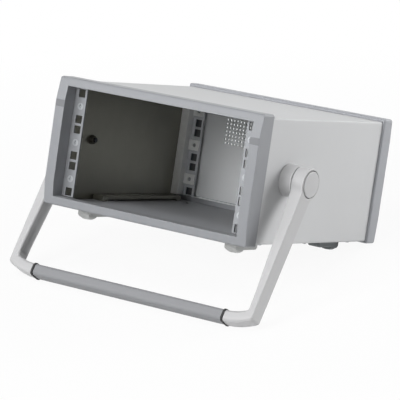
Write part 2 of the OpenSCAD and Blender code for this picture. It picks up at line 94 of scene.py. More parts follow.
class RackCaseSizes(bpy.types.PropertyGroup):
    """Sizes that the solids leave open."""

    facet_half: FloatProperty(
        name="Facet half height", description="Half height of a bezel's upright middle facet",
        default=50 * MM, unit="LENGTH", subtype="DISTANCE")
    facet_lean: FloatProperty(
        name="Facet lean", description="How far the front bezel's outer facets lean back",
        default=4.33 * MM, unit="LENGTH", subtype="DISTANCE")
    rear_lean: FloatProperty(
        name="Rear facet lean", description="How far the rear bezel's outer facets lean back",
        default=1.9 * MM, unit="LENGTH", subtype="DISTANCE")
    opening_half_w: FloatProperty(
        name="Opening half width", description="Half width of the opening in a bezel",
        default=135 * MM, unit="LENGTH", subtype="DISTANCE")
    opening_half_h: FloatProperty(
        name="Opening half height", description="Half height of the opening in a bezel",
        default=67.5 * MM, unit="LENGTH", subtype="DISTANCE")
    bezel_round: FloatProperty(
        name="Bezel edge radius", description="Radius along a bezel's long outer edges",
        default=2.6 * MM, unit="LENGTH", subtype="DISTANCE")
    bezel_crisp: FloatProperty(
        name="Bezel crisp edge", description="Radius along a bezel's face and opening edges",
        default=0.8 * MM, unit="LENGTH", subtype="DISTANCE")
    band_height: FloatProperty(
        name="Band height", description="Height of the shallow band in the front bezel",
        default=8.5 * MM, unit="LENGTH", subtype="DISTANCE")
    band_depth: FloatProperty(
        name="Band depth", description="Depth of the shallow band in the front bezel",
        default=0.4 * MM, unit="LENGTH", subtype="DISTANCE")
    hub_radius: FloatProperty(
        name="Hub radius", description="Radius of the hub at the top of an arm",
        default=19 * MM, unit="LENGTH", subtype="DISTANCE")
    hub_thick: FloatProperty(
        name="Hub thickness", description="Thickness of the hub",
        default=16.1 * MM, unit="LENGTH", subtype="DISTANCE")
    neck: FloatProperty(
        name="Neck radius", description="Radius between the hub and the arm below it",
        default=14 * MM, unit="LENGTH", subtype="DISTANCE")
    arm_half: FloatProperty(
        name="Arm half width", description="Half width of an arm below the hub",
        default=11.5 * MM, unit="LENGTH", subtype="DISTANCE")
    arm_thick: FloatProperty(
        name="Arm thickness", description="Thickness of an arm above its lower corner",
        default=9.5 * MM, unit="LENGTH", subtype="DISTANCE")
    hollow_half: FloatProperty(
        name="Hollow half width", description="Half width of the hollow in an arm's inner side",
        default=8.9 * MM, unit="LENGTH", subtype="DISTANCE")
    hollow_deep: FloatProperty(
        name="Hollow depth", description="Depth of the hollow in an arm's inner side",
        default=5 * MM, unit="LENGTH", subtype="DISTANCE")
    hollow_end: FloatProperty(
        name="Hollow end", description="Height of the hollow's lower end above the grip's middle",
        default=18 * MM, unit="LENGTH", subtype="DISTANCE")
    stub_half_h: FloatProperty(
        name="Stub half height", description="Half height of the stub and the grip",
        default=7.2 * MM, unit="LENGTH", subtype="DISTANCE")
    stub_half_d: FloatProperty(
        name="Stub half depth", description="Half depth of the stub and the grip",
        default=10.4 * MM, unit="LENGTH", subtype="DISTANCE")
    stub_bend: FloatProperty(
        name="Stub bend", description="Radius of the outer side of the stub's bend",
        default=82 * MM, unit="LENGTH", subtype="DISTANCE")
    corner_out: FloatProperty(
        name="Outer corner", description="Radius of an arm's outer corner",
        default=5 * MM, unit="LENGTH", subtype="DISTANCE")
    corner_in: FloatProperty(
        name="Inner corner", description="Radius of an arm's inner corner",
        default=3 * MM, unit="LENGTH", subtype="DISTANCE")
    arm_crisp: FloatProperty(
        name="Arm outer edge", description="Radius along an arm's outer edges and the hub",
        default=1.0 * MM, unit="LENGTH", subtype="DISTANCE")
    arm_soft: FloatProperty(
        name="Arm inner edge", description="Radius along an arm's inner edges",
        default=3.0 * MM, unit="LENGTH", subtype="DISTANCE")
    stub_round: FloatProperty(
        name="Stub edge", description="Radius along the stub's edges, as on the grip",
        default=4.5 * MM, unit="LENGTH", subtype="DISTANCE")
    button_proud: FloatProperty(
        name="Button proud", description="How far a button's crown stands out of its hub",
        default=1.3 * MM, unit="LENGTH", subtype="DISTANCE")
    sheet_round: FloatProperty(
        name="Sheet edge radius", description="Radius along cut sheet edges",
        default=0.2 * MM, unit="LENGTH", subtype="DISTANCE")


class RackCaseColours(bpy.types.PropertyGroup):
    """Colours of the main finishes."""

    bezel: FloatVectorProperty(
        name="Bezel", description="Window-grey paint on the front bezel",
        default=linear("#909296"), subtype="COLOR", size=3)
    # the rear bezel is drawn lighter than the front one though both wear the same window-grey paint: painted light
    rear_bezel: FloatVectorProperty(
        name="Rear bezel", description="Window-grey paint on the rear bezel",
        default=linear("#a1a3a8"), subtype="COLOR", size=3)
    cover: FloatVectorProperty(
        name="Cover", description="Light-grey powder coat outside on the cover and base",
        default=linear("#cbcccd"), subtype="COLOR", size=3)
    arm: FloatVectorProperty(
        name="Arm", description="Light-grey paint on the arms and bosses",
        default=linear("#c2c2c3"), subtype="COLOR", size=3)
    grip: FloatVectorProperty(
        name="Grip", description="Grey soft plastic of the grip",
        default=linear("#8e8f92"), subtype="COLOR", size=3)
    zinc: FloatVectorProperty(
        name="Zinc", description="Bright zinc plate on the front rails",
        default=linear("#87898c"), subtype="COLOR", size=3)


def add(tree, kind, settings=(), links=()):
    """Adds a node, sets its sockets or attributes by name and links sockets into it."""
    node = tree.nodes.new(kind)
    for name, value in dict(settings).items():
        if isinstance(name, int) or name in node.inputs:
            node.inputs[name].default_value = value
        else:
            setattr(node, name, value)
    for name, source in dict(links).items():
        tree.links.new(source, node.inputs[name])
    return node


def material(name, settings):
    """Starts a material with one principled shader: gives it, its tree, shader and coordinates."""
    made = bpy.data.materials.new(name)
    made.use_nodes = True
    tree = made.node_tree
    tree.nodes.clear()
    shader = add(tree, "ShaderNodeBsdfPrincipled", settings)
    add(tree, "ShaderNodeOutputMaterial", links={"Surface": shader.outputs[0]})
    spot = add(tree, "ShaderNodeTexCoord").outputs["Object"]
    return made, tree, shader, spot


def tones(tree, shader, spot, colour, size, spread, rough, rough_spread):
    """Clouds of a size in metres that shift colour and roughness a little, as on a real coat."""
    cloud = add(tree, "ShaderNodeTexNoise", {"Scale": 1 / size, "Detail": 4.0, "Roughness": 0.6},
                {"Vector": spot})
    dark = tuple(c * (1 - spread) for c in colour) + (1,)
    light = tuple(min(c * (1 + spread), 1) for c in colour) + (1,)
    mixed = add(tree, "ShaderNodeMix", {"data_type": "RGBA", 6: dark, 7: light},
                {0: cloud.outputs["Fac"]})
    tree.links.new(mixed.outputs[2], shader.inputs["Base Color"])
    dulled = add(tree, "ShaderNodeMapRange",
                 {"To Min": rough - rough_spread, "To Max": rough + rough_spread},
                 {"Value": cloud.outputs["Fac"]})
    tree.links.new(dulled.outputs[0], shader.inputs["Roughness"])
    return mixed


def grain(tree, shader, spot, size, height, detail=2.0):
    """Bump of a grain size and height in metres."""
    noise = add(tree, "ShaderNodeTexNoise",
                {"Scale": 1 / size, "Detail": detail, "Roughness": 0.55}, {"Vector": spot})
    bump = add(tree, "ShaderNodeBump", {"Strength": 1.0, "Distance": height},
               {"Height": noise.outputs["Fac"]})
    tree.links.new(bump.outputs[0], shader.inputs["Normal"])


def painted_casting(name, colour):
    """Satin wet paint on die-cast aluminium: an even tone with a faint orange peel."""
    made, tree, shader, spot = material(
        name, {"IOR": 1.5, "Coat Weight": 0.08, "Coat Roughness": 0.3})
    tones(tree, shader, spot, colour, size=30 * MM, spread=0.025, rough=0.44, rough_spread=0.05)
    grain(tree, shader, spot, size=0.9 * MM, height=0.02 * MM)
    return made


def powder(name, colour):
    """A powder coat's material, tree, shader, coordinates and colour node, for other coats."""
    made, tree, shader, spot = material(name, {"IOR": 1.5})
    paint = tones(tree, shader, spot, colour,
                  size=45 * MM, spread=0.02, rough=0.52, rough_spread=0.05)
    grain(tree, shader, spot, size=1.2 * MM, height=0.05 * MM, detail=3.0)
    return made, tree, shader, spot, paint


def powder_coat(name, colour):
    """Fine-textured powder coat on sheet: matte, its sand-fine pebble drawn at 1.2 mm to show."""
    return powder(name, colour)[0]


def shaded_coat(name, colour, rail_shade, hole_shade, edge):
    """Powder coat over a perforated panel: matte, with painted shade in a dark bluish grey on its hole
    walls and cut edges, and in dark metal on its inner side past an edge to the left and right,
    behind the rails."""
    made, tree, shader, spot, paint = powder(name, colour)
    # painted shade behind the rails: dark metal on the inner side past the edge, seen through the rails' square
    # holes
    across = add(tree, "ShaderNodeSeparateXYZ", links={0: spot})
    aside = add(tree, "ShaderNodeMath", {"operation": "ABSOLUTE"}, {0: across.outputs["X"]})
    past = add(tree, "ShaderNodeMath", {"operation": "GREATER_THAN", 1: edge},
               {0: aside.outputs[0]})
    facing = add(tree, "ShaderNodeTexCoord").outputs["Normal"]
    inward = add(tree, "ShaderNodeVectorMath",
                 {"operation": "DOT_PRODUCT", 1: CASE.to_3x3() @ Vector((0, -1, 0))}, {0: facing})
    inner = add(tree, "ShaderNodeMath", {"operation": "GREATER_THAN", 1: FACING},
                {0: inward.outputs["Value"]})
    behind_rails = add(tree, "ShaderNodeMath", {"operation": "MULTIPLY"},
                 {0: past.outputs[0], 1: inner.outputs[0]})
    coat = add(tree, "ShaderNodeMix", {"data_type": "RGBA", 7: rail_shade + (1,)},
               {0: behind_rails.outputs[0], 6: paint.outputs[2]})
    tree.links.new(behind_rails.outputs[0], shader.inputs["Metallic"])
    # painted shade in the vent holes: their walls and the cut edges take a dark bluish grey
    square = add(tree, "ShaderNodeMath", {"operation": "ABSOLUTE"}, {0: inward.outputs["Value"]})
    wall = add(tree, "ShaderNodeMath", {"operation": "LESS_THAN", 1: FACING},
               {0: square.outputs[0]})
    holes_shaded = add(tree, "ShaderNodeMix", {"data_type": "RGBA", 7: hole_shade + (1,)},
                {0: wall.outputs[0], 6: coat.outputs[2]})
    tree.links.new(holes_shaded.outputs[2], shader.inputs["Base Color"])
    return made


def zinc_plate(name, colour, metallic=0.7):
    """Zinc plate on rolled steel, bright or dull: rolling streaks and pale clouds. Its paler and darker copies on
    the rails and posts are painted light and shade.
    """
    across, along = 0.5 * MM, 14 * MM
    made, tree, shader, spot = material(name, {"Metallic": metallic})
    tones(tree, shader, spot, colour, size=12 * MM, spread=0.10, rough=0.5, rough_spread=0.08)
    drawn = add(tree, "ShaderNodeMapping", {"Scale": (1 / across, 1 / across, 1 / along)},
                {"Vector": spot})
    grain(tree, shader, drawn.outputs[0], size=1.0, height=0.015 * MM)
    return made


def chromated_aluminium(name, colour):
    """Chromated aluminium, unpainted, inside the case: olive metal with a soft sheen and pale clouds."""
    made, tree, shader, spot = material(name, {"Metallic": 0.8, "IOR": 1.5})
    tones(tree, shader, spot, colour, size=25 * MM, spread=0.08, rough=0.33, rough_spread=0.05)
    grain(tree, shader, spot, size=0.8 * MM, height=0.02 * MM)
    return made


def black_oxide(name, colour):
    """Black-oxide steel: near-black with a dull metal glint and rubbed, paler patches."""
    made, tree, shader, spot = material(name, {"Metallic": 1.0})
    tones(tree, shader, spot, colour, size=6 * MM, spread=0.25, rough=0.42, rough_spread=0.1)
    grain(tree, shader, spot, size=0.5 * MM, height=0.02 * MM)
    return made


def moulded_plastic(name, colour, rough=0.55):
    """Moulded ABS with a spark-eroded skin: matte, with a fine even grain."""
    made, tree, shader, spot = material(name, {"IOR": 1.53})
    tones(tree, shader, spot, colour, size=20 * MM, spread=0.03, rough=rough, rough_spread=0.05)
    grain(tree, shader, spot, size=0.8 * MM, height=0.04 * MM)
    return made


def soft_rubber(name, colour):
    """Moulded black rubber: matte with a dusty bloom."""
    made, tree, shader, spot = material(
        name, {"IOR": 1.52, "Sheen Weight": 0.15, "Sheen Roughness": 0.5})
    tones(tree, shader, spot, colour, size=5 * MM, spread=0.3, rough=0.7, rough_spread=0.08)
    grain(tree, shader, spot, size=0.5 * MM, height=0.03 * MM)
    return made


RAIL_SHADE_EDGE = 121 * MM  # past here the rear panel's inner side is drawn as dark metal: painted shade behind the rear rails
BAND_SHADE = 0.66  # how much darker the shallow bands are drawn than the rest of the bezel
FINISH = {}


def finish(name):
    """Gives a finish by name, made once."""
    tint = bpy.context.scene.rack_case_colours
    recipes = {
        "bezel_paint": (painted_casting, tuple(tint.bezel)),
        # the rear bezel's lighter copy of the window grey is painted light
        "rear_bezel_paint": (painted_casting, tuple(tint.rear_bezel)),
        "band_paint": (painted_casting, tuple(c * BAND_SHADE for c in tint.bezel)),
        "arm_paint": (painted_casting, tuple(tint.arm)),
        "case_paint": (powder_coat, tuple(tint.cover)),
        "floor_paint": (powder_coat, linear("#a9abb0")),
        # the rear panel's coat, with painted shade as dark metal behind the rails and a dark bluish grey in its
        # holes
        "panel_paint": (shaded_coat, linear("#e0e2e4"), linear("#6b6c6e"), linear("#5b6a72"),
                        RAIL_SHADE_EDGE),
        "cover_inside": (chromated_aluminium, linear("#86857c")),
        "zinc_plate": (zinc_plate, tuple(tint.zinc)),
        # rear posts: a pale, nearly matte zinc, painted light on the posts deep in the case
        "dull_zinc": (zinc_plate, linear("#e9eae9"), 0.1),
        # front posts: an olive zinc drawn darker, painted shade seen through the front rails' square holes
        "olive_zinc": (zinc_plate, linear("#98968a"), 0.45),
        # rear rails: a paler zinc than the front rails, painted light
        "pale_zinc": (zinc_plate, linear("#c2c4c8")),
        "dark_zinc": (zinc_plate, linear("#55534b"), 0.3),
        "screw_steel": (zinc_plate, linear("#a2a5a8")),
        "dark_steel": (black_oxide, linear("#3c3d40")),
        "foot_plastic": (moulded_plastic, linear("#bebfbe")),
        # a darker copy of the foot plastic: painted shade on the rear feet under the case
        "rear_foot_plastic": (moulded_plastic, linear("#83888a")),
        "grip_plastic": (moulded_plastic, tuple(tint.grip), 0.6),
        "button_plastic": (moulded_plastic, linear("#c3c3c4"), 0.48),
        "ring_rubber": (soft_rubber, linear("#1b1b1c")),
    }
    if name not in FINISH:
        make, *values = recipes[name]
        FINISH[name] = make(name, *values)
    return FINISH[name]


def mesh_of(bm):
    """Turns a bmesh into a mesh and frees it."""
    mesh = bpy.data.meshes.new("piece")
    bm.to_mesh(mesh)
    bm.free()
    return mesh


def shaped(mesh, kind, settings):
    """Runs a modifier over a mesh and gives back the plain result."""
    piece = bpy.data.objects.new("shaping", mesh)
    bpy.context.scene.collection.objects.link(piece)
    modifier = piece.modifiers.new(kind.lower(), kind)
    for name, value in settings.items():
        setattr(modifier, name, value)
    graph = bpy.context.evaluated_depsgraph_get()
    result = bpy.data.meshes.new_from_object(
        piece.evaluated_get(graph), preserve_all_data_layers=True, depsgraph=graph)
    bpy.data.objects.remove(piece)
    return result


def evened(mesh, angle=32):
    """Smooth shading with sharp edges past an angle and flats that stay flat."""
    mesh.shade_smooth()
    mesh.set_sharp_from_angle(angle=math.radians(angle))
    return shaped(mesh, "WEIGHTED_NORMAL", {"keep_sharp": True, "weight": 60})


def rounded(bm, width, segments, weigh):
    """Rounds edges: weigh gives each edge its share of the width, 0 for none."""
    layer = bm.edges.layers.float.new("bevel_weight_edge")
    for edge in bm.edges:
        edge[layer] = weigh(edge) if len(edge.link_faces) == 2 else 0
    return shaped(mesh_of(bm), "BEVEL", {"width": width, "segments": segments,
                                         "limit_method": "WEIGHT", "use_clamp_overlap": False})


def softened(node, width, segments, angle):
    """Copies a solid and rounds its edges past an angle."""
    bm = bmesh.new()
    bm.from_mesh(frame["nodes"][node].data)
    bmesh.ops.remove_doubles(bm, verts=bm.verts, dist=1e-6)
    bmesh.ops.dissolve_limit(bm, angle_limit=math.radians(0.6), verts=bm.verts, edges=bm.edges)
    least = math.radians(angle)
    return evened(rounded(bm, width, segments, lambda edge: int(edge.calc_face_angle() >= least)))


def block(low, high):
    """A box between two corners, as a mesh."""
    bm = bmesh.new()
    bmesh.ops.create_cube(bm, size=1)
    low, high = Vector(low), Vector(high)
    for v in bm.verts:
        v.co = Vector((low[i] + (v.co[i] + 0.5) * (high[i] - low[i])) for i in range(3))
    return mesh_of(bm)


def prism(outline, start, stop):
    """A drawing of (Y, Z) points drawn out along X from start to stop, as a mesh."""
    bm = bmesh.new()
    ends = [[bm.verts.new((x, y, z)) for y, z in outline] for x in (start, stop)]
    bm.faces.new(ends[0])
    bm.faces.new(list(reversed(ends[1])))
    count = len(outline)
    for i in range(count):
        j = (i + 1) % count
        bm.faces.new((ends[0][i], ends[1][i], ends[1][j], ends[0][j]))
    bmesh.ops.recalc_face_normals(bm, faces=bm.faces)
    return mesh_of(bm)


def cut(mesh, *cutters, operation="DIFFERENCE"):
    """Takes solids away from a mesh, or adds them to it."""
    for cutter in cutters:
        tool = bpy.data.objects.new("cutter", cutter)
        bpy.context.scene.collection.objects.link(tool)
        tool.hide_render = True
        mesh = shaped(mesh, "BOOLEAN", {"operation": operation, "solver": "EXACT", "object": tool})
        bpy.data.objects.remove(tool)
    return mesh


def turned(profile, sides=72):
    """A closed solid turned about Z from (radius, height) points, from bottom to top."""
    bm = bmesh.new()
    rings = []
    for radius, height in profile:
        if radius == 0:
            rings.append([bm.verts.new((0, 0, height))])
        else:
            rings.append([bm.verts.new((radius * math.cos(a), radius * math.sin(a), height))
                          for a in (2 * math.pi * i / sides for i in range(sides))])
    for low, high in zip(rings, rings[1:]):
        for i in range(sides):
            j = (i + 1) % sides
            face = [low[i % len(low)], low[j % len(low)], high[j % len(high)], high[i % len(high)]]
            corners = list(dict.fromkeys(face))
            if len(corners) > 2:
                bm.faces.new(corners)
    bmesh.ops.recalc_face_normals(bm, faces=bm.faces)
    return mesh_of(bm)


def place(name, mesh, body, slot, *nodes):
    """Sets a finished mesh into the scene as a piece that rides on a body and stands for solids."""
    piece = bpy.data.objects.new(name, mesh)
    mesh.name = name
    bpy.context.scene.collection.objects.link(piece)
    if not mesh.materials or mesh.materials[0] is None:
        mesh.materials.clear()
        mesh.materials.append(finish(slot))
    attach(piece, body)
    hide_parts(*nodes)
    return piece


def recoat(node, slot):
    """Gives a solid that stays its finish."""
    data = frame["nodes"][node].data
    data.materials.clear()
    data.materials.append(finish(slot))


def soft_piece(node, body, slot, width, segments=3, angle=50, coat=None):
    """Puts a softened copy of a solid in its place; coat is a finish other than the slot's own."""
    mesh = softened(node, width, segments, angle)
    mesh.materials.clear()
    piece = place(node + "_piece", mesh, body, slot, node)
    if coat:
        piece.data.materials[0] = finish(coat)


class RACKCASE_OT_bezels(bpy.types.Operator):
    """Makes the two cast bezels with their facets, rebates and the front one's shallow bands"""

    bl_idname = "rackcase.bezels"
    bl_label = "Bezels"

    def execute(self, context):
        sizes = context.scene.rack_case_sizes
        self.bezel(sizes, "front_bezel", "bezel_paint", sizes.facet_lean)
        self.bezel(sizes, "rear_bezel", "rear_bezel_paint", sizes.rear_lean)
        return {"FINISHED"}

    @staticmethod
    def bezel(sizes, node, slot, lean):
        """Makes one bezel in the level case frame, its face at Y = 0, and sets it in place."""
        front = node == "front_bezel"
        rebate_deep, rebate_gap, near, far = 5 * MM, 0.2 * MM, 0.1 * MM, 1.0
        low, high = case_box(node)
        depth, top, half = high.y - low.y, high.z, high.x
        upright, wide, tall = sizes.facet_half, sizes.opening_half_w, sizes.opening_half_h
        outline = [(0, upright), (lean, top), (depth, top),
                   (depth, -top), (lean, -top), (0, -upright)]
        ring = cut(prism(outline, -half, half), block((-wide, -far, -tall), (wide, far, tall)))
        bm = bmesh.new()
        bm.from_mesh(ring)
        bmesh.ops.dissolve_limit(bm, angle_limit=math.radians(0.5), verts=bm.verts, edges=bm.edges)
        crisp = sizes.bezel_crisp / sizes.bezel_round
        least, face_to = math.radians(25), lean * 0.98

        def weigh(edge):
            if edge.calc_face_angle() < least:
                return 0
            middle = (edge.verts[0].co + edge.verts[1].co) / 2
            inside = abs(middle.x) < wide + near and abs(middle.z) < tall + near
            on_face = middle.y < face_to and abs(middle.z) < top - near
            return crisp if inside or on_face else 1

        mesh = rounded(bm, sizes.bezel_round, 5, weigh)
        cover_low, cover_high = case_box("cover")
        cutters = [block((cover_low.x - rebate_gap, depth - rebate_deep, cover_low.z - rebate_gap),
                         (cover_high.x + rebate_gap, depth + far, cover_high.z + rebate_gap))]
        band = upright - sizes.band_height
        if front:
            cutters.append(block((-far, -far, band), (far, sizes.band_depth, upright)))
        mesh = cut(mesh, *cutters)
        if not front:
            mesh.transform(Matrix.Translation((0, high.y, 0)) @ Matrix.Scale(-1, 4, (0, 1, 0)))
            mesh.flip_normals()
        mesh.materials.clear()
        mesh.materials.append(finish(slot))
        if front:
            # the faces of the shallow bands take a darker copy of the bezel's colour
            mesh.materials.append(finish("band_paint"))
            for face in mesh.polygons:
                at = face.center
                sunk = at.y < sizes.band_depth + near and band < at.z < upright
                face.material_index = int(sunk and face.normal.y < -0.9)
        mesh.transform(CASE)
        place(node + "_piece", evened(mesh, 28), "case", slot, node)


class RACKCASE_OT_cover(bpy.types.Operator):
    """Makes the folded cover, painted outside and unpainted inside, and the base sheet"""

    bl_idname = "rackcase.cover"
    bl_label = "Cover and base"

    def execute(self, context):
        back = CASE.inverted()
        turn = back.to_3x3()
        low, high = case_box("cover")
        middle = (low + high) / 2
        for node, inside in (("cover", "cover_inside"), ("base", "floor_paint")):
            mesh = softened(node, context.scene.rack_case_sizes.sheet_round, segments=1, angle=50)
            mesh.materials.clear()
            mesh.materials.append(finish("case_paint"))
            mesh.materials.append(finish(inside))
            for face in mesh.polygons:
                at = back @ face.center - middle
                out = turn @ face.normal
                inward = (out.x * at.x + out.z * at.z) < 0 if node == "cover" else out.z > FACING
                face.material_index = 1 if inward else 0
            place(node + "_piece", mesh, "case", "case_paint", node)
        return {"FINISHED"}


class RACKCASE_OT_rails(bpy.types.Operator):
    """Makes the zinc-plated rails with square holes and the posts behind them"""

    bl_idname = "rackcase.rails"
    bl_label = "Rails and posts"

    def execute(self, context):
        # the rear rails and posts take paler copies of the zinc as painted light, and the front posts a darker
        # olive copy as painted shade
        for end, rail_shading, post_shading in (("front", None, "olive_zinc"),
                                          ("rear", "pale_zinc", "dull_zinc")):
            for side in ("left", "right"):
                soft_piece(f"{end}_rail_{side}", "case", "zinc_plate", 0.18 * MM, 2,
                           coat=rail_shading)
                soft_piece(f"{end}_post_{side}", "case", "zinc_plate", 0.5 * MM, coat=post_shading)
        return {"FINISHED"}


class RACKCASE_OT_rear_panel(bpy.types.Operator):
    """Finishes the vented rear panel"""

    bl_idname = "rackcase.rear_panel"
    bl_label = "Rear panel"

    def execute(self, context):
        # the panel's finish holds painted shade behind the rails and in its vent holes
        recoat("rear_panel", "panel_paint")
        return {"FINISHED"}


class RACKCASE_OT_runners(bpy.types.Operator):
    """Makes the runners that carry a rack unit"""

    bl_idname = "rackcase.runners"
    bl_label = "Runners"

    def execute(self, context):
        for side in ("left", "right"):
            soft_piece(f"runner_{side}", "case", "zinc_plate", 0.4 * MM, 2, coat="cover_inside")
        return {"FINISHED"}


class RACKCASE_OT_feet(bpy.types.Operator):
    """Makes the four moulded feet, the rear ones drawn in a darker grey as painted shade under the case"""

    bl_idname = "rackcase.feet"
    bl_label = "Feet"

    def execute(self, context):
        # the rear feet take the darker copy: painted shade under the case
        for end, coat in (("front", None), ("rear", "rear_foot_plastic")):
            for side in ("left", "right"):
                soft_piece(f"foot_{end}_{side}", "case", "foot_plastic", 0.7 * MM, angle=30,
                           coat=coat)
        return {"FINISHED"}


class RACKCASE_OT_pivots(bpy.types.Operator):
    """Makes the pivot bosses and nuts and finishes the studs and keepers"""

    bl_idname = "rackcase.pivots"
    bl_label = "Pivots"

    def execute(self, context):
        for side in ("left", "right"):
            soft_piece(f"boss_{side}", "case", "arm_paint", 0.7 * MM)
            recoat(f"stud_{side}", "dark_steel")
        soft_piece("pivot_nuts", "case", "dark_steel", 0.3 * MM, 2, 40, coat="dark_zinc")
        recoat("keeper_screws", "dark_steel")
        return {"FINISHED"}


def steps(start, stop, count):
    """Numbers or vectors from start to stop, both included."""
    return [start + (stop - start) * i / (count - 1) for i in range(count)]


def ray(angle):
    """Unit vector at an angle."""
    return Vector((math.cos(angle), math.sin(angle)))


def taper_ends(sizes):
    """Heights in the handle's frame between which an arm gets thinner."""
    below_hub, above_grip = 4 * MM, 30 * MM
    return -sizes.hub_radius - below_hub, -ARM_LENGTH + above_grip


def arm_stations(sizes):
    """Stations down one side of the right-hand arm, in the handle's frame.

    Each is the side's half width and drop as (Y, Z), the way it faces, the outer and inner skin as
    (X, Z) with the ways they face, and the radii of the outer and inner edge.
    """
    out_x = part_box("arm_right")[1].x
    stub_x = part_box("ring_right")[1].x
    hub_x, low_x = out_x - sizes.hub_thick, out_x - sizes.arm_thick
    crisp, soft, full = sizes.arm_crisp, sizes.arm_soft, sizes.stub_round
    right, left = Vector((1, 0)), Vector((-1, 0))
    hub, half, fillet = sizes.hub_radius, sizes.arm_half, sizes.neck
    heart = Vector((half + fillet, -math.sqrt((hub + fillet) ** 2 - (half + fillet) ** 2)))
    leave = math.atan2(heart.y, heart.x)
    crown = math.radians(87.5)  # the two sides are joined across the top of the hub
    crisp_low = 1.5 * crisp  # the outer edge's radius where the lower corner begins
    soft_by = 0.25  # share of the taper by which the inner edge has its full radius
    stations = []

    def upright(side, facing, inner_x, outer_r, inner_r):
        stations.append((side, facing, Vector((out_x, side.y)), right,
                         Vector((inner_x, side.y)), left, outer_r, inner_r))

    for angle in steps(crown, leave, 28):
        upright(ray(angle) * hub, ray(angle), hub_x, crisp, crisp)
    for angle in steps(leave + math.pi, math.pi, 8)[1:]:
        upright(heart + ray(angle) * fillet, -ray(angle), hub_x, crisp, crisp)

    taper_from, taper_to = taper_ends(sizes)
    wide_to = -ARM_LENGTH * 0.3  # the arm keeps its full width down to here

    def half_at(z):
        share = min(max((wide_to - z) / (wide_to + ARM_LENGTH), 0), 1)
        return half - (half - sizes.stub_half_d) * share

    for z in steps(taper_from, taper_to, 14):
        share = (taper_from - z) / (taper_from - taper_to)
        upright(Vector((half_at(z), z)), right, hub_x + (low_x - hub_x) * share,
                crisp, crisp + (soft - crisp) * min(share / soft_by, 1))

    middle = Vector((stub_x, -ARM_LENGTH - sizes.stub_half_h + sizes.stub_bend))
    bend_out, bend_in = sizes.stub_bend, sizes.stub_bend - 2 * sizes.stub_half_h

    def corner(x, bend, radius):
        across = x - radius - stub_x
        return Vector((x - radius, middle.y - math.sqrt((bend - radius) ** 2 - across ** 2)))

    outer_heart = corner(out_x, bend_out, sizes.corner_out)
    inner_heart = corner(low_x, bend_in, sizes.corner_in)

    def station(outer, facing_out, inner, facing_in, outer_r, inner_r):
        side = Vector((half_at((outer.y + inner.y) / 2), 0))
        stations.append((side, right, outer, facing_out, inner, facing_in, outer_r, inner_r))

    for share in steps(0, 1, 6)[1:]:
        station(Vector((out_x, taper_to + (outer_heart.y - taper_to) * share)), right,
                Vector((low_x, taper_to + (inner_heart.y - taper_to) * share)), left,
                crisp + (crisp_low - crisp) * share, soft)
    turn_out = math.atan2(outer_heart.y - middle.y, outer_heart.x - middle.x)
    turn_in = math.atan2(inner_heart.y - middle.y, inner_heart.x - middle.x)
    for share in steps(0, 1, 9)[1:]:
        a, b = ray(turn_out * share), ray(turn_in * share)
        station(outer_heart + a * sizes.corner_out, a, inner_heart + b * sizes.corner_in, -b,
                crisp_low + (full - crisp_low) * share, soft + (full - soft) * share)
    for share in steps(0, 1, 13)[1:]:
        a = ray(turn_out + (-math.pi / 2 - turn_out) * share)
        b = ray(turn_in + (-math.pi / 2 - turn_in) * share)
        station(middle + a * bend_out, a, middle + b * bend_in, -b, full, full)
    return stations


def arm_skin(stations, round_steps=5):
    """The closed skin of an arm: both sides drawn along the stations and joined across."""
    bm = bmesh.new()
    sides = []
    for sign in (1, -1):
        rows = []
        for side, facing, outer, facing_out, inner, facing_in, outer_r, inner_r in stations:
            row = []
            for skin, out, radius, turn in ((outer, facing_out, outer_r, 1),
                                            (inner, facing_in, inner_r, -1)):
                for angle in steps(0, math.pi / 2, round_steps + 1)[::turn]:
                    at = skin - out * radius * (1 - math.cos(angle))
                    inset = facing * radius * (1 - math.sin(angle))
                    row.append(bm.verts.new((at.x, sign * (side.x - inset.x), at.y - inset.y)))
            rows.append(row)
        sides.append(rows)
    right, left = sides
    for rows in sides:
        for a, b in zip(rows, rows[1:]):
            for i in range(len(a) - 1):
                bm.faces.new((a[i], a[i + 1], b[i + 1], b[i]))
    for i in range(len(right[0]) - 1):
        bm.faces.new((right[0][i], right[0][i + 1], left[0][i + 1], left[0][i]))
    for k in (0, -1):
        for (a, b), (c, d) in zip(zip(right, right[1:]), zip(left, left[1:])):
            bm.faces.new((a[k], b[k], d[k], c[k]))
    bm.faces.new(right[-1] + left[-1][::-1])
    bmesh.ops.recalc_face_normals(bm, faces=bm.faces)
    return mesh_of(bm)


